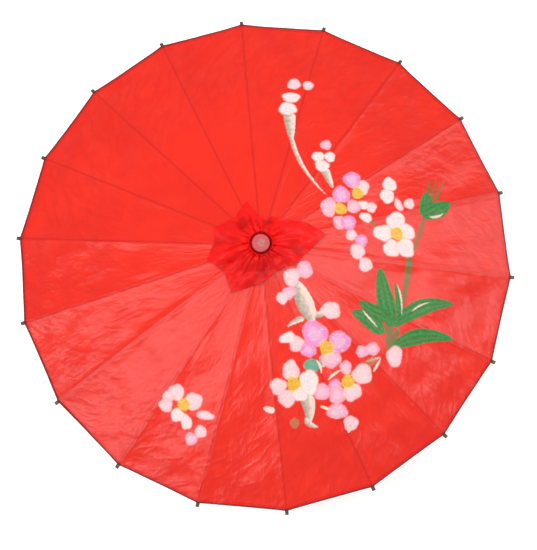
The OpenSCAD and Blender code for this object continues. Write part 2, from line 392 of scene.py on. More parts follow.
@dataclass(frozen=True)
class Dab:
    """One round or oval touch of the brush, in plan millimetres from the shaft's axis.

    Attributes:
        x: Middle of the dab, along the first rib.
        y: Middle of the dab, square to the first rib.
        size: Half its width.
        tint: Its paint.
        stretch: Half its length, as a share of half its width.
        turn: Heading of its length, in degrees.
    """

    x: float
    y: float
    size: float
    tint: Tint = Tint.BLUSH
    stretch: float = 1.0
    turn: float = 0.0

    def depth(self, at: Points) -> Points:
        """Return how far inside the dab each point is, in millimetres."""
        angle = math.radians(self.turn)
        across, up = at[:, 0] - self.x, at[:, 1] - self.y
        long = (across * math.cos(angle) + up * math.sin(angle)) / self.stretch
        wide = -across * math.sin(angle) + up * math.cos(angle)
        round_about = np.arctan2(wide, long)
        wobble = 0.06 * np.sin(3 * round_about + self.x) + 0.035 * np.sin(5 * round_about + self.y)
        return self.size * (1 + wobble) - np.hypot(long, wide)


@dataclass(frozen=True)
class Petal:
    """A petal, placed from its blossom's heart.

    Attributes:
        heading: Direction from the heart, in degrees.
        distance: Distance from the heart, in millimetres.
        size: Half its width, in millimetres.
        tint: Its paint.
        stretch: Half its length, as a share of half its width.
    """

    heading: float
    distance: float
    size: float
    tint: Tint
    stretch: float = 1.0


@dataclass(frozen=True)
class Blossom:
    """A flower: a heart and its petals.

    Attributes:
        x: Middle of the heart in plan millimetres, along the first rib.
        y: Middle of the heart, square to the first rib.
        heart: Half the heart's width.
        petals: The petals, from the lowest to the highest.
    """

    x: float
    y: float
    heart: float
    petals: tuple[Petal, ...]

    def dabs(self) -> list[Dab]:
        """Return the petals as dabs that point at the heart."""
        made = []
        for petal in self.petals:
            angle = math.radians(petal.heading)
            x = self.x + petal.distance * math.cos(angle)
            y = self.y + petal.distance * math.sin(angle)
            made.append(Dab(x, y, petal.size, petal.tint, petal.stretch, petal.heading))
        return made


class Paint(Enum):
    """The paints that strokes are laid in, from the lowest to the highest."""

    TWIG = "twig"
    STEM = "stem"
    LEAF = "leaf"
    TEAL = "teal"
    PALE = "pale"
    SEED = "seed"


@dataclass(frozen=True)
class Stroke:
    """A curved stroke of the brush from one point to another.

    Attributes:
        start: Where the stroke starts, in plan millimetres.
        end: Where it ends.
        width: Its greatest width.
        bow: How far its middle bends to the left.
        peak: Where it is widest, as a share of its length.
    """

    start: tuple[float, float]
    end: tuple[float, float]
    width: float
    bow: float = 0.0
    peak: float = 0.5

    def depth(self, at: Points) -> tuple[Points, Points]:
        """Return how deep inside the stroke each point is, and its place across it.

        Args:
            at: Points in plan millimetres.

        Returns:
            The depth in millimetres, and the signed place across the stroke, from -1 to 1.
        """
        run = np.array(self.end) - np.array(self.start)
        length = float(np.hypot(*run))
        ahead = run / length
        side = np.array((-ahead[1], ahead[0]))
        along = (at - np.array(self.start)) @ ahead / length
        inside = np.clip(along, 0.0, 1.0)
        across = (at - np.array(self.start)) @ side - self.bow * 4 * inside * (1 - inside)
        rise = np.clip(inside / self.peak, 0, 1)
        fall = np.clip((1 - inside) / (1 - self.peak), 0, 1)
        half = self.width / 2 * np.sqrt(rise * (2 - rise) + 1e-4) * fall ** 0.48
        beyond = np.abs(along - inside) * length
        return half - np.abs(across) - beyond, np.clip(across / np.maximum(half, 0.5), -1, 1)


@dataclass(frozen=True)
class Painting:
    """Sprays of blossom, a tuft of leaves and their twigs, laid out in plan millimetres.

    Attributes:
        blossoms: The open flowers.
        buds: Single petals and buds.
        strokes: What is laid with a long brush, by its paint.
    """

    blossoms: tuple[Blossom, ...] = (
        Blossom(140, 101, 9, (
            Petal(59, 13, 12, Tint.BLUSH), Petal(115, 23, 14, Tint.ORCHID))),
        Blossom(115, 72, 9, (
            Petal(180, 19, 16, Tint.PINK, 0.75), Petal(-90, 22, 11, Tint.PINK),
            Petal(-57, 24, 12, Tint.ORCHID), Petal(19, 21, 11, Tint.PINK), Petal(92, 23, 14, Tint.ORCHID))),
        Blossom(206, 45, 10, (
            Petal(96, 19, 16, Tint.WHITE), Petal(185, 22, 13, Tint.WHITE, 1.25),
            Petal(16, 18, 13, Tint.WHITE), Petal(254, 25, 14, Tint.WHITE),
            Petal(-52, 25, 15, Tint.WHITE, 1.1))),
        Blossom(109, -140, 10, (
            Petal(190, 27, 12, Tint.ORCHID), Petal(-58, 16, 15, Tint.PINK, 1.15),
            Petal(28, 22, 17, Tint.ORCHID), Petal(135, 27, 19, Tint.ORCHID, 1.1))),
        Blossom(64, -198, 10, (
            Petal(105, 20, 13, Tint.BLUSH, 1.25), Petal(195, 23, 13, Tint.BLUSH),
            Petal(251, 24, 14, Tint.BLUSH), Petal(-51, 19, 12, Tint.WHITE),
            Petal(10, 24, 20, Tint.WHITE, 0.72))),
        Blossom(147, -188, 10, (
            Petal(103, 21, 9, Tint.PINK, 1.25), Petal(202, 21, 10, Tint.ORCHID),
            Petal(238, 26, 14, Tint.PINK), Petal(-62, 17, 15, Tint.BLUSH), Petal(31, 25, 16, Tint.BLUSH))),
        Blossom(-102, -245, 9, (
            Petal(124, 22, 13, Tint.BLUSH), Petal(156, 27, 9, Tint.BLUSH), Petal(186, 28, 11, Tint.BLUSH),
            Petal(242, 19, 11, Tint.WHITE), Petal(-78, 27, 9, Tint.WHITE, 1.4),
            Petal(24, 17, 14, Tint.BLUSH))),
    )
    buds: tuple[Dab, ...] = (
        Dab(28, 285, 11, Tint.BLUSH), Dab(51, 283, 9, Tint.BLUSH), Dab(25, 258, 10, Tint.WHITE, 1.5),
        Dab(21, 236, 12, Tint.WHITE, 1.25), Dab(86, 177, 9, Tint.PINK), Dab(75, 154, 10, Tint.WHITE),
        Dab(93, 156, 9, Tint.WHITE), Dab(82, 139, 10, Tint.WHITE, 1.15),
        Dab(163, 82, 9, Tint.BLUSH), Dab(150, 84, 7, Tint.WHITE, 1.4), Dab(155, 64, 8, Tint.WHITE, 1.3, -20),
        Dab(134, 33, 9, Tint.BLUSH), Dab(150, 26, 10, Tint.ORCHID), Dab(145, 9, 12, Tint.BLUSH),
        Dab(159, -10, 11, Tint.BLUSH), Dab(191, 124, 12, Tint.WHITE), Dab(188, 104, 12, Tint.WHITE),
        Dab(207, 92, 6, Tint.BLUSH, 1.9, -62), Dab(224, 96, 9, Tint.BLUSH),
        Dab(217, -144, 13, Tint.BLUSH, 1.3, 90),
        Dab(165, -141, 9, Tint.PINK, 1.15), Dab(180, -136, 10, Tint.PINK, 1.2, 15),
        Dab(66, -29, 13, Tint.PINK), Dab(48, -42, 12, Tint.BLUSH, 1.15, 90),
        Dab(46, -65, 9, Tint.PINK, 1.3, 35),
        Dab(37, -73, 9, Tint.BLUSH), Dab(111, -84, 13, Tint.BLUSH, 1.2), Dab(64, -138, 12, Tint.BLUSH),
        Dab(49, -130, 8, Tint.WHITE, 1.6, 25), Dab(109, -207, 13, Tint.PINK),
        Dab(135, -235, 12, Tint.PINK, 1.4, 5), Dab(158, -252, 12, Tint.BLUSH),
        Dab(-67, -258, 7, Tint.BLUSH, 2.1, -5), Dab(-73, -284, 10, Tint.BLUSH),
        Dab(-87, -297, 10, Tint.PINK),
    )
    strokes: tuple[tuple[Paint, tuple[Stroke, ...]], ...] = (
        (Paint.TWIG, (
            Stroke((24, 228), (32, 176), 20, 0, 0.12), Stroke((29, 190), (92, 91), 8, -10, 0.15),
            Stroke((86, 134), (101, 104), 14, 0, 0.12), Stroke((54, -46), (86, -104), 26, 0, 0.62),
            Stroke((72, -99), (48, -114), 9, -2, 0.25), Stroke((86, -96), (108, -84), 10, 0, 0.5),
            Stroke((79, -206), (93, -258), 22, 5, 0.35), Stroke((86, -250), (108, -262), 10, -3, 0.3),
            Stroke((107, -148), (106, -170), 14, 0, 0.5), Stroke((157, -22), (150, 16), 5, 2, 0.5))),
        (Paint.STEM, (
            Stroke((250, 84), (228, 8), 6, 4, 0.3), Stroke((228, 14), (219, -80), 11, 3, 0.12),
            Stroke((254, 108), (259, 142), 6, 1, 0.2), Stroke((260, 108), (270, 146), 5, 0, 0.2),
            Stroke((266, 106), (283, 145), 5, -1, 0.2), Stroke((160, 60), (178, 48), 4, 0, 0.3),
            Stroke((203, -92), (207, -142), 14, 0, 0.2), Stroke((220, -100), (208, -130), 8, 0, 0.3))),
        (Paint.LEAF, (
            Stroke((208, -98), (182, -12), 29, 2, 0.42), Stroke((221, -88), (208, -32), 12, -2, 0.35),
            Stroke((202, -88), (154, -66), 24, 2, 0.4), Stroke((196, -110), (144, -82), 26, -4, 0.45),
            Stroke((210, -98), (307, -54), 26, 12, 0.5), Stroke((211, -130), (309, -110), 25, 11, 0.45),
            Stroke((248, 78), (251, 119), 25, -4, 0.55), Stroke((248, 79), (293, 107), 27, -1, 0.6))),
        (Paint.TEAL, (Stroke((88, -158), (91, -181), 26, 0, 0.5),)),
        (Paint.PALE, (
            Stroke((58, -46), (90, -90), 5, 0, 0.6), Stroke((96, -160), (105, -179), 4, 2, 0.5),
            Stroke((116, -189), (136, -171), 4, 2, 0.5), Stroke((172, -156), (194, -147), 4, 0, 0.5),
            Stroke((185, -171), (195, -149), 4, 0, 0.5), Stroke((21, -239), (39, -242), 10, 0, 0.8),
            Stroke((108, -229), (126, -234), 5, 0, 0.7), Stroke((155, -267), (157, -256), 6, 0, 0.7),
            Stroke((259, 80), (283, 90), 4, -3, 0.5), Stroke((160, -79), (186, -102), 3, 0, 0.5),
            Stroke((212, -34), (222, -80), 3, 3, 0.5), Stroke((238, -73), (266, -56), 2.5, 2, 0.5))),
        (Paint.SEED, (
            Stroke((70, -250), (72, -267), 15, 0, 0.5), Stroke((170, -163), (188, -149), 13, 0, 0.5))),
    )

    def fields(self, at: Points) -> dict[str, Points]:
        """Return the depth of every kind of paint at the points.

        Args:
            at: Points in plan millimetres.

        Returns:
            Depths in millimetres, positive under paint, and tones and places from 0 to 1, by name.
        """
        dry = np.full(len(at), -20.0)  # far outside every stroke
        made = {name: dry.copy() for name in ("petal", "heart")}
        made |= {name: np.zeros(len(at)) for name in ("petal_tone", "petal_place", "across")}
        petals = [dab for blossom in self.blossoms for dab in blossom.dabs()]
        for dab in (*self.buds, *petals):
            depth = dab.depth(at)
            covers = depth > 0
            made["petal"] = np.maximum(made["petal"], depth)
            made["petal_tone"] = np.where(covers, dab.tint.value, made["petal_tone"])
            made["petal_place"] = np.where(covers, depth / dab.size, made["petal_place"])
        for blossom in self.blossoms:
            heart = Dab(blossom.x, blossom.y, blossom.heart).depth(at)
            made["heart"] = np.maximum(made["heart"], heart)
        for paint, strokes in self.strokes:
            deepest = dry.copy()
            for stroke in strokes:
                depth, across = stroke.depth(at)
                if paint in (Paint.LEAF, Paint.TWIG):
                    made["across"] = np.where(depth > 0, across * 0.5 + 0.5, made["across"])
                deepest = np.maximum(deepest, depth)
            made[paint.value] = deepest
        return made


# --------------------------------------------------------------------------------------------------
# Finishes
# --------------------------------------------------------------------------------------------------


@dataclass(frozen=True)
class ClothFinish:
    """Thin woven taffeta, creased from being folded, with or without the painting.

    Attributes:
        name: The material's name.
        ground: Colour of the cloth.
        deep: Darker red: the cloth's own mottle and weave, and painted shade in its creases, beside the
            ribs, along the hem and in the collar's hollows.
        painted: Whether the cloth carries the painting, the seams and the hem.
        pitch: Angle between ribs, in radians.
        creases: Strength of the creases.
        gloss: Strength of the highlights.
        rough: Roughness of the bare cloth.
        thread: Spacing of the weave.
        see_through: Share of the light that comes through.
        relief: Height of the deepest creases.
        weave: Height of the weave's threads.
    """

    name: str
    ground: Colour
    deep: Colour
    painted: bool
    pitch: float
    creases: float = 1.0
    gloss: float = 0.42
    rough: float = 0.30
    thread: float = 0.55 * MM
    see_through: float = 0.18
    relief: float = 1.7 * MM
    weave: float = 0.05 * MM

    def make(self) -> bpy.types.Material:
        """Build the material."""
        bench = Bench(self.name)
        plan = bench.node("ShaderNodeUVMap", {"uv_map": "Plan"}, None)
        x, y, _ = bench.parts(plan)
        radius, angle = bench.polar(x, y)
        height = self._creases(bench, plan, radius, angle)
        threads = self._threads(bench, x, y)
        mottle = bench.noise(plan, 9.0, 3.0, 0.6)
        colour = bench.mix(bench.step(0.35, 0.75, mottle) * 0.35, self.ground, self.deep)
        # Painted shade: the cloth turns darker where its crease relief is high.
        colour = bench.mix(bench.step(0.45, 0.95, height) * 0.30, colour, self.deep)
        colour = bench.mix((1 - threads) * 0.10, colour, self.deep)
        rough: Amount = self.rough
        if self.painted:
            # Partly the glued line's own darker colour, partly painted shade on one side of each rib's
            # ridge.
            seam = self._seam(bench, radius, angle)
            colour = bench.mix(seam * 0.75, colour, self.deep)
            # Painted shade: a darker band along the turned-in hem. The stitches are the thread's own darker
            # line.
            shaded_hem, stitch = self._hem(bench)
            colour = bench.mix(shaded_hem * 0.45 + stitch * 0.3, colour, self.deep)
            front = bench.step(-0.1, 0.1, bench.parts(bench.facing())[2])
            painted, paint = self._paint(bench, plan, colour)
            colour, paint = bench.mix(front * 0.65 + 0.35, colour, painted), paint * front
            rough = self.rough + paint * 0.32
            height = height + shaded_hem * 0.12 - seam * 0.08 + paint * 0.05
        else:
            # Painted shade: the collar turns darker where its folds lie low.
            painted_hollow_shade = bench.step(0.75, 0.0, bench.attribute("fold"))
            colour = bench.mix(painted_hollow_shade * 0.7, colour, self.deep)
        normal = bench.bump(threads, self.weave, bench.bump(height, self.relief))
        solid = bench.shader(
            {"Base Color": colour, "Roughness": rough, "Normal": normal, "Specular IOR Level": self.gloss}
        )
        glow = bench.node("ShaderNodeBsdfTranslucent", None, {"Color": self.ground})
        return bench.finish(
            bench.node("ShaderNodeMixShader", None, {0: self.see_through, 1: solid, 2: glow})
        )

    def _creases(self, bench: Bench, plan: Wire, radius: Wire, angle: Wire) -> Wire:
        """Return fine pulls along and across the gores, stronger towards the rim."""
        out = bench.step(0.12, 0.36, radius)
        spokes = bench.noise(bench.vector(angle * 9.0, radius * 7.0), 1.6, 3.0, 0.6)
        skew = bench.noise(bench.vector(angle * 7.0 + radius * 22.0, radius * 9.0 - angle * 3.0), 1.4, 2.0)
        soft = bench.noise(plan, 26.0, 3.0, 0.55)
        crease = bench.math("MAXIMUM", 1 - abs(spokes - 0.5) * 5.0, 0.0)
        pulls = bench.math("MAXIMUM", 1 - abs(skew - 0.5) * 7.0, 0.0)
        return (crease * 0.48 + pulls * 0.52) * (0.3 + out * 0.35) * self.creases + soft * 0.55

    def _threads(self, bench: Bench, x: Wire, y: Wire) -> Wire:
        """Return the height of a plain weave, from 0 to 1."""
        rate = math.pi / self.thread
        return abs(bench.math("SINE", x * rate) * bench.math("SINE", y * rate))

    def _seam(self, bench: Bench, radius: Wire, angle: Wire) -> Wire:
        """Return a mask of the line where the cloth is glued along each rib, sharper on one side: partly the
        glued line's own darker colour, partly painted shade beside the rib's ridge.
        """
        _, off = bench.beside_rib(radius, angle, self.pitch)
        return bench.step(-2.4 * MM, 0.2 * MM, off) * bench.step(1.6 * MM, 0.7 * MM, off)

    def _hem(self, bench: Bench) -> tuple[Wire, Wire]:
        """Return masks of the cloth that is turned in at the edge, which is darkened as painted shade, and
        of the stitches that hold it.
        """
        inward = bench.attribute("from_edge")
        stitch = bench.step(0.7 * MM, 0.3 * MM, abs(inward - 5.5 * MM))
        return bench.step(6.2 * MM, 5.8 * MM, inward), stitch

    def _paint(self, bench: Bench, plan: Wire, cloth: Wire) -> tuple[Wire, Wire]:
        """Lay the painting over the cloth's colour.

        Args:
            bench: The material.
            plan: The cloth's flat coordinates.
            cloth: The colour of the bare cloth.

        Returns:
            The colour, and how much paint there is, from 0 to 1.
        """
        bristle = bench.noise(plan, 430.0, 3.0, 0.7)
        dapple = bench.noise(plan, 190.0, 2.0, 0.6)
        broad = bench.noise(plan, 60.0, 2.0, 0.5)
        ragged = (bristle - 0.5) * 3.0 + (dapple - 0.5) * 1.6
        colour, mask = cloth, {}
        across = bench.attribute("across")
        veins = bench.math("SINE", across * 19.0 + broad * 4.0)
        fills = {
            Paint.TWIG: bench.ramp(dapple * 0.55 + across * 0.45, (0.30, tone(150, 160, 138)),
                                   (0.48, tone(196, 190, 176)), (0.62, tone(238, 222, 206))),
            Paint.STEM: bench.mix(bristle, tone(30, 104, 34), tone(92, 124, 56)),
            Paint.LEAF: bench.ramp(veins * 0.08 + dapple * 0.7 + 0.15, (0.28, tone(0, 106, 38)),
                                   (0.5, tone(4, 134, 58)), (0.82, tone(48, 166, 98))),
            Paint.TEAL: bench.mix(dapple, tone(24, 136, 96), tone(140, 200, 176)),
            Paint.PALE: bench.mix(dapple, tone(252, 236, 214), tone(244, 196, 186)),
            Paint.SEED: bench.mix(bristle, tone(140, 96, 50), tone(214, 150, 110)),
        }
        strength = {Paint.STEM: 0.85, Paint.SEED: 0.75, Paint.TWIG: 0.94}
        for paint, fill in fills.items():
            depth = bench.attribute(paint.value) + ragged
            mask[paint] = bench.step(-0.9, 0.9, depth)
            colour = bench.mix(mask[paint] * strength.get(paint, 0.97), colour, fill)
        depth, heart = bench.attribute("petal"), bench.attribute("heart")
        covered = bench.step(-0.9, 0.9, depth + ragged)
        petal = self._petals(bench, bristle, dapple, broad, heart + ragged)
        colour = bench.mix(covered * (0.72 + bench.step(0.0, 3.5, depth) * 0.26), colour, petal)
        pollen = bench.ramp(bristle * 0.7 + dapple * 0.3,
                            (0.35, tone(214, 150, 36)), (0.62, tone(246, 204, 70)))
        colour = bench.mix(bench.step(-1.2, 1.2, heart + ragged * 1.6), colour, pollen)
        paint = bench.math("MAXIMUM", covered, mask[Paint.LEAF])
        return colour, bench.math("MAXIMUM", paint, mask[Paint.TWIG] * 0.7)

    def _petals(self, bench: Bench, bristle: Wire, dapple: Wire, broad: Wire, heart: Wire) -> Wire:
        """Return the petals' colour.

        Args:
            bench: The material.
            bristle: The finest noise.
            dapple: The middle noise.
            broad: The slowest noise.
            heart: How far inside the flower's heart the point is, in millimetres.

        Returns:
            The colour: greyed and flecked in the middle, flushed at the rim, yellow by the heart.
        """
        place = bench.attribute("petal_place") + (dapple - 0.5) * 0.18
        flecks = bench.step(0.48, 0.60, bristle * 0.6 + dapple * 0.4) * bench.step(0.1, 0.4, place)
        washes = (
            (bench.step(0.30, 0.62, place) * 0.35, tone(244, 228, 234)),
            (flecks * 0.55, tone(192, 176, 186)),
            (bench.step(0.56, 0.68, dapple) * 0.5, tone(252, 240, 238)),
            (bench.step(0.18, 0.02, place) * 0.6, tone(250, 162, 158)),
            (bench.step(-8.0, 3.0, heart) * 0.6, tone(246, 226, 160)),
        )
        petal = bench.ramp(bench.attribute("petal_tone") + (broad - 0.5) * 0.35,
                           (Tint.WHITE.value, tone(250, 232, 226)), (Tint.BLUSH.value, tone(247, 206, 208)),
                           (Tint.PINK.value, tone(242, 172, 196)), (Tint.ORCHID.value, tone(234, 140, 206)))
        for share, wash in washes:
            petal = bench.mix(share, petal, wash)
        return petal


@dataclass(frozen=True)
class BambooFinish:
    """Split bamboo or cane with fibres along the strip, and dark-stained ends if asked.

    Attributes:
        name: The material's name.
        pale: Colour between the fibres.
        dark: Colour of the fibres.
        pitch: Angle between ribs, in radians.
        stained_from: Distance from the shaft's axis at which the stain starts, if there is any.
        stain: Colour of the stain and of the bamboo's joints.
    """

    name: str
    pale: Colour
    dark: Colour
    pitch: float
    stained_from: float | None = None
    stain: Colour = field(default_factory=lambda: tone(54, 20, 16))

    def make(self) -> bpy.types.Material:
        """Build the material."""
        bench = Bench(self.name)
        x, y, z = bench.parts(bench.place())
        radius, angle = bench.polar(x, y)
        strip, across = bench.beside_rib(radius, angle, self.pitch)
        grain = bench.vector(radius * 9.0 + strip * 3.7, across * 900.0, z * 60.0)
        fibre = bench.noise(grain, 1.0, 3.0, 0.65)
        blotch = bench.noise(bench.vector(radius * 30.0 + strip * 5.1, across * 60.0, z * 4.0), 1.0)
        joint = bench.math("FRACT", radius * 4.2 + strip * 0.37)
        ring = bench.step(0.016, 0.004, abs(joint - 0.5))
        colour = bench.mix(bench.step(0.3, 0.75, fibre), self.pale, self.dark)
        colour = bench.mix(bench.step(0.45, 0.7, blotch) * 0.4, colour, self.dark)
        colour = bench.mix(ring * 0.7, colour, self.stain)
        if self.stained_from is not None:
            stained = bench.step(self.stained_from, self.stained_from + 3 * MM, radius + fibre * 2 * MM)
            colour = bench.mix(stained * 0.9, colour, self.stain)
        normal = bench.bump(fibre + ring * 0.8, 0.12 * MM)
        return bench.finish(
            bench.shader({"Base Color": colour, "Roughness": 0.42 + fibre * 0.2, "Normal": normal})
        )


@dataclass(frozen=True)
class TurnedWoodFinish:
    """Wood turned on a lathe: grain along the axis, tool marks round it, and a handled, greyed end.

    Attributes:
        name: The material's name.
        pale: Colour between the grain lines.
        dark: Colour of the grain lines.
        worn_above: Height above which the end grain is greyed.
        worn: Colour of the greyed end.
        gloss: Strength of the varnish.
        rough: Roughness of the wood.
    """

    name: str
    pale: Colour
    dark: Colour
    worn_above: float
    # worn: Colour of the greyed end; on the head and the shaft it also carries painted red bounce light.
    worn: Colour
    gloss: float = 0.0
    rough: float = 0.5

    def make(self) -> bpy.types.Material:
        """Build the material."""
        bench = Bench(self.name)
        place = bench.place()
        x, y, z = bench.parts(place)
        wander = bench.noise(bench.vector(x * 60.0, y * 60.0, z * 3.0), 1.0, 3.0)
        growth = bench.math("SINE", (x * 1900.0 + y * 300.0) + wander * 9.0)
        fibre = bench.noise(bench.vector(x * 900.0, y * 900.0, z * 22.0), 1.0, 3.0, 0.6)
        lathe = bench.math("SINE", z * 5200.0 + fibre * 2.0)
        streak = bench.step(-0.6, 1.0, growth) * 0.45 + bench.step(0.4, 0.75, fibre) * 0.4
        colour = bench.mix(streak, self.pale, self.dark)
        blotch = bench.noise(place, 330.0, 3.0, 0.65)
        end = bench.step(self.worn_above, self.worn_above + 0.2 * MM, z)
        colour = bench.mix(end * (bench.step(0.32, 0.62, blotch) * 0.4 + 0.6), colour, self.worn)
        normal = bench.bump(fibre * 0.7 + lathe * 0.12 + growth * 0.1, 0.1 * MM)
        return bench.finish(bench.shader(
            {"Base Color": colour, "Roughness": self.rough + fibre * 0.15, "Normal": normal,
             "Coat Weight": self.gloss, "Coat Roughness": 0.18}
        ))


@dataclass(frozen=True)
class SteelFinish:
    """Drawn wire or spring plate, slightly dull.

    Attributes:
        name: The material's name.
        colour: Colour of the bright metal.
        tarnish: Colour of its dull patches.
    """

    name: str
    colour: Colour
    tarnish: Colour = field(default_factory=lambda: tone(96, 84, 74))

    def make(self) -> bpy.types.Material:
        """Build the material."""
        bench = Bench(self.name)
        place = bench.place()
        x, y, z = bench.parts(place)
        scuff = bench.noise(bench.vector(x * 300.0, y * 300.0, z * 2400.0), 1.0, 3.0, 0.7)
        dull = bench.noise(place, 240.0, 2.0)
        colour = bench.mix(bench.step(0.5, 0.8, dull) * 0.5, self.colour, self.tarnish)
        normal = bench.bump(scuff, 0.03 * MM)
        return bench.finish(bench.shader(
            {"Base Color": colour, "Metallic": 1.0, "Roughness": 0.28 + scuff * 0.3, "Normal": normal}
        ))


@dataclass(frozen=True)
class ThreadFinish:
    """Twisted cotton thread or cord.

    Attributes:
        name: The material's name.
        colour: Colour between the strands, painted shade.
        light: Colour on top of the strands, a painted highlight.
        lay: How closely the strands are twisted.
    """

    name: str
    colour: Colour
    light: Colour
    lay: float = 1500.0

    def make(self) -> bpy.types.Material:
        """Build the material."""
        bench = Bench(self.name)
        place = bench.place()
        x, y, z = bench.parts(place)
        twist = bench.math("SINE", (x + y) * self.lay + z * self.lay * 1.6)
        fuzz = bench.noise(place, 1600.0, 3.0, 0.7)
        # Painted highlight on the crests of the twist and painted shade between them, with random fuzz.
        colour = bench.mix(bench.step(-0.4, 1.0, twist) * 0.5 + fuzz * 0.3, self.colour, self.light)
        normal = bench.bump(twist * 0.6 + fuzz * 0.4, 0.15 * MM)
        return bench.finish(bench.shader(
            {"Base Color": colour, "Roughness": 0.85, "Normal": normal, "Sheen Weight": 0.2}
        ))


@dataclass
class Palette:
    """Every finish of the parasol, made once.

    Attributes:
        skeleton: The frame's sizes.
        greyed: Depth of the greyed end of the turned wood.
        dipped: Length of the stained rib tips.
        materials: The finished materials, by what they are for.
    """

    skeleton: Skeleton
    greyed: float = 0.6 * MM
    dipped: float = 9 * MM
    materials: dict[str, bpy.types.Material] = field(default_factory=dict)

    def mix(self) -> "Palette":
        """Make all the materials and return the palette."""
        pitch = self.skeleton.pitch
        top, core = (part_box(name)[1].z - self.greyed for name in ("head", "shaft"))
        finishes = {
            # Each cloth's second colour is its mottle and weave, and also painted shade in creases, seams,
            # the hem and the collar's hollows.
            "canopy": ClothFinish("canopy_taffeta", tone(238, 40, 16), tone(206, 14, 6), True, pitch),
            "collar": ClothFinish("collar_taffeta", tone(238, 12, 10), tone(150, 0, 2), False, pitch, 0.5,
                                  gloss=0.2, rough=0.45, see_through=0.06),
            "rib": BambooFinish("rib_bamboo", tone(214, 176, 120), tone(170, 122, 70), pitch,
                                self.skeleton.tip - self.dipped),
            "stretcher": BambooFinish("stretcher_bamboo", tone(222, 188, 134), tone(182, 136, 84), pitch),
            # The head's pink, and the pink in the shaft's greyed end, are painted red light bounced from the
            # canopy.
            "head": TurnedWoodFinish("head_wood", tone(208, 78, 80), tone(180, 54, 60), top,
                                     tone(180, 66, 76), 0.1, 0.5),
            "shaft": TurnedWoodFinish("shaft_wood", tone(214, 172, 120), tone(168, 118, 70), core,
                                      tone(158, 76, 82), 0.35, 0.34),
            "grip": TurnedWoodFinish("grip_wood", tone(186, 118, 70), tone(126, 70, 38), core,
                                     tone(126, 70, 38), 0.6, 0.3),
            "steel": SteelFinish("drawn_steel", tone(190, 186, 180)),
            "thread": ThreadFinish("dark_thread", tone(46, 14, 12), tone(110, 40, 32)),
        }
        self.materials = {key: finish.make() for key, finish in finishes.items()}
        return self

    def dress(self, piece: bpy.types.Object, key: str) -> None:
        """Give a piece one finish."""
        piece.data.materials.clear()
        piece.data.materials.append(self.materials[key])


# --------------------------------------------------------------------------------------------------
# Mesh helpers
# --------------------------------------------------------------------------------------------------


def columns(steps: int, seam: float = 0.03) -> Points:
    """Return places from 0 to 1 with very narrow end steps, so that shading runs on across a seam."""
    inner = np.linspace(0.0, 1.0, steps)
    inner[0], inner[-1] = seam / steps, 1.0 - seam / steps
    return np.concatenate(((0.0,), inner, (1.0,)))


def add_object(name: str, data: bpy.types.ID) -> bpy.types.Object:
    """Put an object with that data into the scene."""
    made = bpy.data.objects.new(name, data)
    bpy.context.scene.collection.objects.link(made)
    return made


def make_piece(name: str, shape: bmesh.types.BMesh) -> bpy.types.Object:
    """Turn a shape into a piece of the scene, and free the shape."""
    mesh = bpy.data.meshes.new(name)
    shape.to_mesh(mesh)
    shape.free()
    return add_object(name, mesh)


def sheet_mesh(
    name: str, along: Points, across: Points, flip: bool
) -> tuple[bpy.types.Object, Points, Points]:
    """Make a grid of faces that is ready to be shaped.

    Args:
        name: The piece's name.
        along: Places of the grid lines along the first side.
        across: Places of the grid lines along the second side.
        flip: Whether the faces are turned over.

    Returns:
        The piece, and each of its points' places along and across.
    """
    grid = bmesh.new()
    bmesh.ops.create_grid(grid, x_segments=len(along) - 1, y_segments=len(across) - 1, size=0.5)
    if flip:
        bmesh.ops.reverse_faces(grid, faces=grid.faces)
    piece = make_piece(name, grid)
    flat = read_points(piece.data)
    first = np.rint((flat[:, 0] + 0.5) * (len(along) - 1)).astype(int)
    second = np.rint((flat[:, 1] + 0.5) * (len(across) - 1)).astype(int)
    return piece, along[first], across[second]


def read_points(mesh: bpy.types.Mesh) -> Points:
    """Return a mesh's points as rows."""
    flat = np.zeros(len(mesh.vertices) * 3, np.float32)
    mesh.vertices.foreach_get("co", flat)
    return flat.reshape(-1, 3).astype(float)


def write_points(mesh: bpy.types.Mesh, points: Points) -> None:
    """Put a mesh's points where the rows say, and shade it smooth."""
    mesh.vertices.foreach_set("co", points.astype(np.float32).ravel())
    mesh.polygons.foreach_set("use_smooth", np.ones(len(mesh.polygons), bool))
    mesh.update()


def carry(mesh: bpy.types.Mesh, name: str, values: Points) -> None:
    """Store one number for each point of a mesh."""
    mesh.attributes.new(name, "FLOAT", "POINT").data.foreach_set("value", values.astype(np.float32))


def carry_plan(mesh: bpy.types.Mesh, plan: Points) -> None:
    """Store flat cloth coordinates, in metres, as the UV map that the cloth finish reads."""
    corners = np.zeros(len(mesh.loops), np.int32)
    mesh.loops.foreach_get("vertex_index", corners)
    mesh.uv_layers.new(name="Plan").data.foreach_set("uv", plan[corners].astype(np.float32).ravel())


def thicken(piece: bpy.types.Object, wall: float, offset: float = -1.0) -> None:
    """Give a sheet its thickness."""
    shell = piece.modifiers.new("wall", "SOLIDIFY")
    shell.thickness, shell.offset, shell.use_even_offset = wall, offset, False


def crisp(phase: Points) -> Points:
    """Return a wave from -1 to 1 with straight flanks and barely rounded crests, as creased cloth has."""
    bend = 0.96
    return np.arcsin(bend * np.sin(phase)) / math.asin(bend)


def ripples(
    at: Points,
    waves: Iterable[tuple[float, float, float, float]],
    profile: Callable[[Points], Points] = np.sin,
) -> Points:
    """Return a sum of waves.

    Args:
        at: Points in plan, in metres.
        waves: Waves as (heading in degrees, length in metres, phase, height in metres).
        profile: The shape of a wave, over its phase.

    Returns:
        The height at each point, in metres.
    """
    total = np.zeros(len(at))
    for heading, length, phase, height in waves:
        way = np.array((math.cos(math.radians(heading)), math.sin(math.radians(heading))))
        total += height * profile(at @ way * 2 * math.pi / length + phase)
    return total


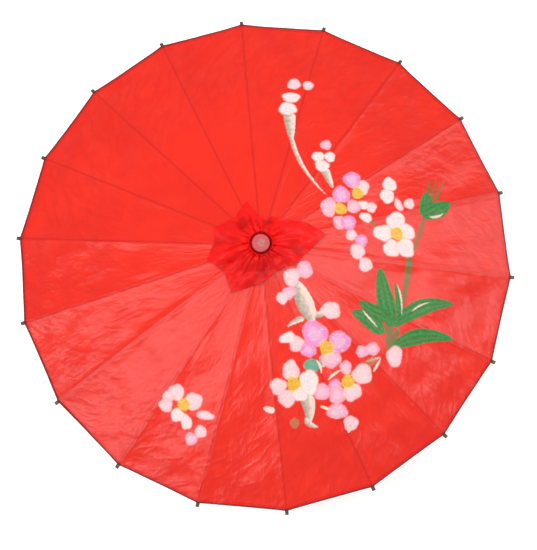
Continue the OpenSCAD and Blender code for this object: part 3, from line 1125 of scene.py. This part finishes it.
def tube(name: str, route: Points, radius: float, sides: int = 8) -> bpy.types.Object:
    """Sweep a round thread along a route.

    Args:
        name: The piece's name.
        route: The points that the thread follows.
        radius: The thread's radius.
        sides: Faces round the thread.

    Returns:
        The piece.
    """
    shape = bmesh.new()
    last = len(route) - 1
    bmesh.ops.create_cone(shape, cap_ends=True, segments=sides, radius1=radius, radius2=radius, depth=1.0)
    lengthwise = [edge for edge in shape.edges if abs(edge.verts[0].co.z - edge.verts[1].co.z) > 0.5]
    bmesh.ops.subdivide_edges(shape, edges=lengthwise, cuts=last - 1, use_grid_fill=False)
    ways = np.gradient(route, axis=0)
    for vert in shape.verts:
        row = round((vert.co.z + 0.5) * last)
        ahead = Vector(ways[row]).normalized()
        side = ahead.cross(Vector((0, 0, 1)))
        upright = side.length <= 1e-3
        side = Vector((1, 0, 0)) if upright else side.normalized()
        up = side.cross(ahead)
        vert.co = Vector(route[row]) + side * vert.co.x + up * vert.co.y
    bmesh.ops.recalc_face_normals(shape, faces=shape.faces)
    for face in shape.faces:
        face.smooth = len(face.verts) == 4
    return make_piece(name, shape)


# --------------------------------------------------------------------------------------------------
# Cloth
# --------------------------------------------------------------------------------------------------


class Side(Enum):
    """The parts of the cloth that one rib carries: what is glued on it, and half a gore each side."""

    LEFT = 1
    GLUED = 0
    RIGHT = -1


@dataclass
class Pleat:
    """How a half gore would fold in behind its rib as the parasol closes; the fold itself is not made.

    Attributes:
        lean: Angle between the folding direction and the cloth, in degrees. Not used.
        keep: Share of the width that is left along that direction. Not used.
    """

    lean: float = 4.5
    keep: float = 0.02

    def fold(
        self, piece: bpy.types.Object, skeleton: Skeleton, number: int, side: Side, margin: float
    ) -> None:
        """Work out where a piece's fold beside its rib would start, and give the piece its own mesh; the
        piece is not folded.

        Args:
            piece: The piece, which rides on the rib.
            skeleton: The frame's sizes.
            number: The rib's number.
            side: The side of the rib that the piece is on.
            margin: Half the width of the glued cloth, which doesn't fold.
        """
        out = skeleton.out(number)
        tangent = skeleton.beside(number) * side.value
        root = out * skeleton.radius(0.0, skeleton.lift) + tangent * margin
        root.z = skeleton.height(0.0, skeleton.lift)
        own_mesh(piece)


@dataclass
class Canopy:
    """The painted cloth: a glued strip and two half gores on every rib, and the cord along their edges.

    Attributes:
        skeleton: The frame's sizes.
        palette: The finishes.
        painting: What is painted on the cloth.
        wall: Thickness of the cloth.
        margin: Half the width of the cloth that is glued to a rib.
        ridge: How far the ribs hold the cloth up.
        sag: Depth of the cloth between two ribs, at the rim.
        glued_rise: Distance from a rib's line at which the cloth has left the rib.
        fine: Step of the mesh on painted gores.
        plain: Step of the mesh on bare gores.
        bare: Headings in degrees between which the gores are bare.
        covered: Distance out from the hinge that the collar hides.
        cord: Radius of the hem cord.
        cut: Share of its flat rectangle that a half gore takes up.
        pleat: How a half gore would fold; it only gives each half gore its own mesh.
        waves: Waves of the cloth, as heading in degrees, length, phase and height.
    """

    skeleton: Skeleton
    palette: Palette
    painting: Painting
    wall: float = 0.25 * MM
    margin: float = 2.6 * MM
    ridge: float = 0.45 * MM
    sag: float = 3.2 * MM
    glued_rise: float = 8 * MM
    fine: float = 1.9 * MM
    plain: float = 3.4 * MM
    bare: tuple[float, float] = (110, 232)
    covered: float = 34 * MM
    cord: float = 0.8 * MM
    cut: float = 0.51
    pleat: Pleat = field(default_factory=Pleat)
    waves: tuple[tuple[float, float, float, float], ...] = (
        (12, 61 * MM, 0.4, 0.50 * MM), (77, 83 * MM, 2.1, 0.65 * MM), (131, 52 * MM, 4.0, 0.40 * MM),
        (-38, 117 * MM, 1.3, 0.90 * MM), (52, 34 * MM, 5.2, 0.20 * MM),
    )

    def half_width(self, along: Points) -> Points:
        """Return the distance from a rib's line to the middle of the gore."""
        half = self.skeleton.pitch / 2
        return self.skeleton.radius(along, self.skeleton.lift) * math.sin(half) * math.cos(half)

    def surface(self, number: int, along: Points, aside: Points) -> Points:
        """Return points of the open cloth.

        Args:
            number: The rib's number.
            along: Distances along the rib from its hinge.
            aside: Signed distances from the rib's line.

        Returns:
            The points at rest.
        """
        bones, gap = self.skeleton, np.abs(aside)
        ahead = bones.radius(along, bones.lift) - gap * math.tan(bones.pitch / 2)
        out, beside = bones.out(number), bones.beside(number)
        x, y = ahead * out.x + aside * beside.x, ahead * out.y + aside * beside.y
        across = (gap - self.margin) / np.maximum(self.half_width(along) - self.margin, 0.01 * MM)
        across = np.clip(across, 0.0, 1.0)
        share = (along - bones.start) / (bones.edge - bones.start)
        hemmed = smooth(0.93, 1.0, share)
        dip = self.sag * across * (2 - across) * smooth(0.0, 0.9, share) * (1 - 0.35 * hemmed)
        free = smooth(0.02, 0.4, across) * smooth(0.05, 0.5, share) * (1 - 0.6 * hemmed)
        waves = ripples(np.stack((x, y), axis=1), self.waves)
        lift = self.ridge * (1 - smooth(self.margin, self.glued_rise, gap))
        return np.stack((x, y, bones.height(along, bones.lift) + waves * free - dip + lift), axis=1)

    def breadths(self, side: Side, along: Points, across: Points) -> Points:
        """Return distances from the rib's line, for shares across one part of the cloth."""
        if side is Side.GLUED:
            return (across * 2 - 1) * self.margin
        return side.value * (self.margin + across * (self.half_width(along) - self.margin))

    def cloth(self, number: int, side: Side) -> bpy.types.Object:
        """Make one part of the cloth, painted."""
        bones = self.skeleton
        middle = math.degrees(bones.turn(number) + side.value * bones.pitch / 4) % 360
        step = self.plain if self.bare[0] < middle < self.bare[1] else self.fine
        shown = bones.start + self.covered
        rows = np.append(np.linspace(bones.start, shown, 5)[:-1],
                         np.linspace(shown, bones.edge, round((bones.edge - shown) / step) + 1))
        width = bones.tip * math.sin(bones.pitch / 2)
        lines = columns(5 if side is Side.GLUED else round(width / step))
        piece, along, across = sheet_mesh(
            f"canopy_{number:02d}_{side.name.lower()}", rows, lines, side is Side.RIGHT
        )
        points = self.surface(number, along, self.breadths(side, along, across))
        write_points(piece.data, points)
        carry_plan(piece.data, points[:, :2])
        carry(piece.data, "from_edge", bones.edge - along)
        for key, values in self.painting.fields(points[:, :2] / MM).items():
            carry(piece.data, key, values)
        thicken(piece, self.wall)
        self.palette.dress(piece, "canopy")
        return piece

    def hem(self, number: int, side: Side) -> bpy.types.Object:
        """Make the cord along the outer edge of one part of the cloth."""
        across = np.linspace(0.0, 1.0, 3 if side is Side.GLUED else 25)
        outside, above = 0.4 * self.cord, 0.2 * self.cord
        edge = np.full(len(across), self.skeleton.edge + outside)
        route = self.surface(number, edge, self.breadths(side, edge, across))
        route[:, 2] += above
        piece = tube(f"hem_cord_{number:02d}_{side.name.lower()}", route, self.cord)
        self.palette.dress(piece, "thread")
        return piece

    def build(self) -> None:
        """Make the whole canopy, each part riding on its rib."""
        bones = self.skeleton
        length = bones.edge - bones.start
        rim = bones.tip * math.sin(bones.pitch / 2) - self.margin
        for number in range(1, bones.count + 1):
            body = f"rib_{number:02d}"
            pieces = {side: (self.cloth(number, side), self.hem(number, side)) for side in Side}
            for side, (cloth, cord) in pieces.items():
                for piece in (cloth, cord):
                    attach(piece, body)
                    if side is not Side.GLUED:
                        self.pleat.fold(piece, bones, number, side, self.margin)
                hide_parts("canopy")
                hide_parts("hem_cord")
            for side, beside in ((Side.LEFT, pieces[Side.GLUED]), (Side.RIGHT, ())):
                cloth, cord = pieces[side]
                rim * length * self.cut
            log.info("canopy and hem on %s", body)


@dataclass(frozen=True)
class Flap:
    """A crumpled flap of the collar.

    Attributes:
        heading: Its direction from the axis, in degrees.
        reach: Distance of its corner from the axis.
        width: Half the width of its ridge, in degrees.
        height: How high its ridge stands.
    """

    heading: float
    reach: float
    width: float
    height: float


@dataclass
class Collar:
    """Doubled cloth gathered round the head's neck, tied, and spread in crumpled flaps over the canopy.

    Attributes:
        skeleton: The frame's sizes.
        palette: The finishes.
        flaps: The corners of the outline, in order round the head.
        crumples: Sharp waves of the cloth, as heading in degrees, length, phase and height.
        waist: Radius of the gathers under the tie.
        rise: Height of the tie above the rib hinges.
        gap: How far the collar lies above the canopy.
        puff: How far the cloth stands up beside the tie.
        pleat: Depth of the gathers.
        stand: How far the flaps stand up, as a share of their own heights.
        wall: Thickness of the doubled cloth.
        sink: How far the folds may go down below the gap.
        slack: Flat length of the cloth with its folds laid out, as a share of its reach.
        bent: Distance from the axis at which the cloth would wholly follow the ribs; the collar is not bent
            with them.
        frill: How far the gathers stand above the tie.
        flare: How far the gathers open out above the tie.
        rows: Points of the mesh from the waist to the outline.
        lines: Steps of the mesh across one rib's part.
    """

    skeleton: Skeleton
    palette: Palette
    flaps: tuple[Flap, ...] = (
        Flap(-162, 84 * MM, 9, 4 * MM), Flap(-140, 66 * MM, 8, 1 * MM), Flap(-118, 82 * MM, 9, 5 * MM),
        Flap(-84, 55 * MM, 9, 2 * MM), Flap(-55, 44 * MM, 9, 3 * MM), Flap(-20, 58 * MM, 10, 5 * MM),
        Flap(16, 98 * MM, 9, 5 * MM), Flap(31, 78 * MM, 7, 1 * MM), Flap(42, 66 * MM, 8, 5 * MM),
        Flap(58, 50 * MM, 7, 1 * MM), Flap(76, 46 * MM, 8, 3 * MM), Flap(98, 42 * MM, 7, 1 * MM),
        Flap(113, 72 * MM, 9, 6 * MM), Flap(138, 58 * MM, 8, 1 * MM), Flap(163, 76 * MM, 10, 5 * MM),
        Flap(180, 70 * MM, 7, 1 * MM),
    )
    crumples: tuple[tuple[float, float, float, float], ...] = (
        (24, 31 * MM, 0.3, 2.4 * MM), (96, 24 * MM, 1.9, 2.0 * MM), (158, 28 * MM, 3.1, 2.2 * MM),
        (61, 13 * MM, 0.9, 0.8 * MM), (125, 15 * MM, 2.2, 0.8 * MM),
    )
    waist: float = 13.7 * MM
    rise: float = 16.0 * MM
    gap: float = 3.6 * MM
    puff: float = 3.5 * MM
    pleat: float = 2.4 * MM
    stand: float = 1.6
    wall: float = 0.7 * MM
    sink: float = 2.1 * MM
    slack: float = 1.3
    bent: float = 46 * MM
    frill: float = 8.0 * MM
    flare: float = 4.6 * MM
    rows: int = 60
    lines: int = 28

    def reach(self, angle: Points) -> Points:
        """Return the outline's distance from the axis, with straight edges between its corners."""
        heading = np.radians([flap.heading for flap in self.flaps])
        far = np.array([flap.reach for flap in self.flaps])
        x, y = far * np.cos(heading), far * np.sin(heading)
        turned = (angle + math.pi) % (2 * math.pi) - math.pi
        after = np.searchsorted(heading, turned) % len(heading)
        before = (after - 1) % len(heading)
        dx, dy = x[after] - x[before], y[after] - y[before]
        cross = x[before] * dy - y[before] * dx
        return cross / (np.cos(angle) * dy - np.sin(angle) * dx)

    def ridges(self, angle: Points) -> Points:
        """Return how high the flaps stand in each direction."""
        total = np.zeros(len(angle))
        for flap in self.flaps:
            off = (np.degrees(angle) - flap.heading + 180) % 360 - 180
            total += flap.height * np.exp(-(off / flap.width) ** 2)
        return total

    def surface(self, angle: Points, share: Points) -> Points:
        """Return points of the crumpled collar.

        Args:
            angle: Directions round the axis, in radians.
            share: Shares of the way from the waist to the outline.

        Returns:
            The points at rest.
        """
        bones = self.skeleton
        radius = self.waist + (self.reach(angle) - self.waist) * share
        rest = bones.cloth_height(radius) + self.gap
        settle = smooth(0.0, 0.6, share)
        height = (bones.crown + self.rise) * (1 - settle) + rest * settle
        height += self.puff * np.exp(-((share - 0.2) / 0.14) ** 2)
        stand = smooth(0.05, 0.45, share) * (1 - 0.5 * smooth(0.6, 1.0, share))
        sway = angle + 0.12 * share * np.sin(3 * angle + 1.0)
        gathers = 0.6 * crisp(17 * sway + 1.4 * share) + 0.4 * crisp(29 * sway - 2.0 * share)
        drawn = smooth(0.0, 0.12, share) * (1 - 0.8 * smooth(0.25, 0.75, share))
        plan = np.stack((radius * np.cos(angle), radius * np.sin(angle)), axis=1)
        crumple = ripples(plan, self.crumples, crisp)
        folds = 2.0 * MM * crisp(11 * sway + 2.6 * share + 0.8) * smooth(0.3, 0.7, share)
        height += self.stand * self.ridges(sway) * stand + self.pleat * gathers * drawn
        height += folds + 0.5 * crumple * smooth(0.15, 0.5, share)
        return np.column_stack((plan, np.maximum(height, rest - self.sink)))

    def sector(self, number: int) -> bpy.types.Object:
        """Make the part of the collar that lies over one rib."""
        bones = self.skeleton
        half = columns(self.lines // 2)
        spread = np.concatenate((-half[:1:-1], half[2:])) * bones.pitch / 2
        piece, angle, share = sheet_mesh(
            f"collar_{number:02d}", bones.turn(number) + spread, np.linspace(0.0, 1.0, self.rows), True
        )
        points = self.surface(angle, share)
        write_points(piece.data, points)
        carry_plan(piece.data, points[:, :2])
        above = points[:, 2] - bones.cloth_height(np.hypot(points[:, 0], points[:, 1])) - self.gap
        # The fold number drives painted shade: it is low where the cloth lies low and rises towards the
        # outline.
        carry(piece.data, "fold", (above + 2 * MM) / (9 * MM) + 0.3 * smooth(0.7, 1.0, share))
        thicken(piece, self.wall, 1.0)
        self.palette.dress(piece, "collar")
        return piece

    def upstand(self) -> None:
        """Make the gathers that stand above the tie, round the head's neck."""
        bones = self.skeleton
        piece, angle, share = sheet_mesh(
            "collar_frill", np.linspace(0, 2 * math.pi, 289), np.linspace(0.0, 1.0, 12), True
        )
        gathers = 0.6 * np.sin(17 * angle + 0.7) + 0.4 * np.sin(29 * angle + 2.0)
        gathered, uneven, clear = 1.3 * MM, 0.9 * MM, 0.2 * MM
        radius = self.waist + clear + (self.flare + gathered * gathers) * share ** 1.5
        top = bones.crown + self.rise + (self.frill + uneven * np.sin(5 * angle)) * share
        write_points(piece.data, np.stack((radius * np.cos(angle), radius * np.sin(angle), top), axis=1))
        carry_plan(piece.data, np.stack((self.waist * angle, self.frill * share), axis=1))
        # The fold number drives painted shade: darker low on the frill and between its gathers.
        carry(piece.data, "fold", share - 0.45 + 0.3 * gathers)
        shape = bmesh.new()
        shape.from_mesh(piece.data)
        bmesh.ops.remove_doubles(shape, verts=shape.verts, dist=0.001 * MM)
        shape.to_mesh(piece.data)
        shape.free()
        thicken(piece, self.wall, 1.0)
        self.palette.dress(piece, "collar")
        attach(piece, "root")
        around, turned_in = 2 * math.pi * (self.waist + 1.2 * MM) * 1.15, 4 * MM
        self.frill + turned_in
        around * self.frill

    def build(self) -> None:
        """Make the collar's sectors over the ribs, and its frill."""
        bones = self.skeleton
        for number in range(1, bones.count + 1):
            piece = self.sector(number)
            out = bones.out(number)
            start, end = out * (self.waist + 6 * MM), out * self.bent
            start.z = end.z = bones.crown
            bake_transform(piece)
            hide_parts("collar")
            reach = self.reach(bones.turn(number) + np.linspace(-0.5, 0.5, 15) * bones.pitch)
            width, length = float(reach.max()) * bones.pitch, float(reach.max()) * self.slack
            folded, least = 1.4, 0.32
            area = float(np.mean(reach ** 2)) * bones.pitch / 2 * folded
            max(area, least * width * length)
        self.upstand()
        log.info("collar in %d sectors, and its frill", bones.count)


# --------------------------------------------------------------------------------------------------
# Threads and woodwork
# --------------------------------------------------------------------------------------------------


@dataclass
class TipStitches:
    """Thread whipped round each rib where the cloth ends.

    Attributes:
        skeleton: The frame's sizes.
        palette: The finishes.
        thread: Radius of the thread.
        turns: Turns round the rib.
        corners: Points of the route in one turn.
        inside: How far inside the cloth's edge the thread starts.
        spacing: Distance from one turn to the next, as a share of the thread's radius.
        half_width: Distance from the rib's line to the thread beside it.
        low: Height of the thread under the rib, above the hinge line.
        high: Height of the thread over the cloth, above the hinge line.
        boxy: How squarely the thread goes round, from 0 for an oval to 1.
    """

    skeleton: Skeleton
    palette: Palette
    thread: float = 0.45 * MM
    turns: int = 3
    corners: int = 20
    inside: float = 2.2 * MM
    spacing: float = 2.4
    half_width: float = 3.1 * MM
    low: float = 0.1 * MM
    high: float = 5.8 * MM
    boxy: float = 0.7

    def build(self) -> None:
        """Make one whipping for each rib."""
        bones = self.skeleton
        turn = np.arange(self.turns * self.corners + 1) / self.corners
        cos, sin = np.cos(2 * math.pi * turn), np.sin(2 * math.pi * turn)
        square = np.maximum(np.abs(cos), np.abs(sin)) ** -self.boxy
        along = bones.edge - self.inside + self.spacing * self.thread * turn
        lift = (self.low + self.high) / 2 + (self.high - self.low) / 2 * sin * square
        ahead, aside = bones.radius(along, lift), self.half_width * cos * square
        for number in range(1, bones.count + 1):
            out, beside = bones.out(number), bones.beside(number)
            route = np.outer(ahead, out) + np.outer(aside, beside)
            route[:, 2] = bones.height(along, lift)
            piece = tube(f"tip_whipping_{number:02d}", route, self.thread, 6)
            self.palette.dress(piece, "thread")
            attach(piece, f"rib_{number:02d}")
        log.info("whippings on %d ribs", bones.count)


@dataclass
class Woodwork:
    """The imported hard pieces, which keep their meshes and take their finishes.

    Attributes:
        nodes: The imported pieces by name.
        palette: The finishes.
    """

    nodes: dict[str, bpy.types.Object]
    palette: Palette

    def build(self) -> None:
        """Dress every hard piece."""
        plain = {"shaft": "shaft", "grip": "grip", "head": "head", "runner": "head", "head_wire": "steel",
                 "runner_wire": "steel", "catch": "steel", "catch_pin": "steel", "catch_spring": "steel",
                 "collar_tie": "thread"}
        for name, node in self.nodes.items():
            key = plain.get(name) or name.split("_")[0]
            if key in self.palette.materials:
                self.palette.dress(node, key)
        log.info("%d packed pieces dressed", len(self.nodes))


# --------------------------------------------------------------------------------------------------
# Studio
# --------------------------------------------------------------------------------------------------


@dataclass(frozen=True)
class Lamp:
    """A soft square lamp.

    Attributes:
        name: Its name.
        place: Where it hangs, in metres.
        size: The length of its side.
        power: Its power in watts.
        sheen: Whether it gives the cloth its sheen, or else all its plain light.
    """

    name: str
    place: tuple[float, float, float]
    size: float
    power: float
    sheen: bool = True


@dataclass
class Studio:
    """A pale floor, soft light from above, and a camera that looks down on the open canopy.

    Attributes:
        skeleton: The frame's sizes.
        distance: Distance from the camera to the plane of the rib tips.
        tilt: Turn of the camera about its own first axis, in degrees.
        lean: Turn about the second axis.
        roll: Turn about the third axis.
        aim: Where the camera points, aside from the shaft's axis.
        lens: Focal length on a sensor that is 36 mm wide.
        lamps: The lamps, which all face the canopy.
        lit: Height of the point that the lamps face.
        sky: Strength of the white light from all sides.
    """

    skeleton: Skeleton
    distance: float = 1.150
    tilt: float = -6.8
    lean: float = -0.9
    roll: float = -4.7
    aim: tuple[float, float] = (-0.0087, 0.0282)
    lens: float = 46.8
    lamps: tuple[Lamp, ...] = (
        Lamp("key", (-0.2, 0.2, 3.1), 1.0, 61, sheen=False),
        Lamp("right_sheen", (1.0, -0.14, 2.1), 0.4, 19),
        Lamp("low_sheen", (1.85, 0.66, 1.45), 0.4, 14),
        Lamp("near_sheen", (-1.05, -1.0, 1.97), 0.45, 25),
    )
    lit: float = 0.3
    sky: float = 0.62

    def camera(self) -> None:
        """Place the camera almost on the shaft's axis, high above the canopy."""
        data = bpy.data.cameras.new("camera")
        data.sensor_fit, data.sensor_width, data.lens = "HORIZONTAL", 36.0, self.lens
        data.clip_end = 30
        camera = add_object("camera", data)
        turned = (Matrix.Rotation(math.radians(self.tilt), 3, "X")
                  @ Matrix.Rotation(math.radians(self.lean), 3, "Y")
                  @ Matrix.Rotation(math.radians(self.roll), 3, "Z")).transposed()
        back = turned @ Vector((-self.aim[0], -self.aim[1], self.distance))
        tip, rib_middle = self.skeleton.edge + 9 * MM, 2.4 * MM
        place = Matrix.Translation(back + Vector((0, 0, self.skeleton.height(tip, rib_middle))))
        camera.matrix_world = place @ turned.to_4x4()
        bpy.context.scene.camera = camera

    def hang(self, lamp: Lamp) -> None:
        """Hang one lamp so that it faces the canopy."""
        data = bpy.data.lights.new(lamp.name, "AREA")
        data.shape, data.size, data.energy = "SQUARE", lamp.size, lamp.power
        hung = add_object(lamp.name, data)
        hung.location = lamp.place
        ahead = Vector((0, 0, self.lit)) - Vector(lamp.place)
        hung.rotation_euler = ahead.to_track_quat("-Z", "Y").to_euler()
        hung.visible_glossy, hung.visible_diffuse = lamp.sheen, not lamp.sheen

    def floor(self) -> None:
        """Lay a wide pale floor under the grip's end."""
        shape = bmesh.new()
        bmesh.ops.create_grid(shape, x_segments=1, y_segments=1, size=8.0)
        bmesh.ops.translate(shape, verts=shape.verts, vec=(0, 0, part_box("grip")[0].z - 0.2 * MM))
        floor = make_piece("floor", shape)
        bench = Bench("studio_floor")
        grain = bench.noise(bench.place(), 40.0, 2.0)
        colour = bench.mix(grain * 0.1, tone(250, 250, 250), tone(242, 242, 243))
        floor.data.materials.append(bench.finish(bench.shader(
            {"Base Color": colour, "Roughness": 0.9, "Emission Color": WHITE, "Emission Strength": 0.2}
        )))

    def build(self) -> None:
        """Set the camera, the lamps, the world and the floor."""
        scene = bpy.context.scene
        self.camera()
        for lamp in self.lamps:
            self.hang(lamp)
        world = bpy.data.worlds.new("studio")
        world.use_nodes = True
        background = world.node_tree.nodes["Background"].inputs
        background["Color"].default_value, background["Strength"].default_value = WHITE, self.sky
        scene.world = world
        scene.view_settings.view_transform = "Standard"
        self.floor()
        log.info("studio ready")


def main() -> None:
    """Load the frame, build every soft piece, dress the hard ones and light the parasol."""
    logging.basicConfig(level=logging.INFO, format="%(name)s: %(message)s")
    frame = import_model()
    skeleton = Skeleton.read(frame)
    Studio(skeleton).build()
    palette = Palette(skeleton).mix()
    Woodwork(frame["nodes"], palette).build()
    Canopy(skeleton, palette, Painting()).build()
    Collar(skeleton, palette).build()
    TipStitches(skeleton, palette).build()


if __name__ == "__main__":
    main()
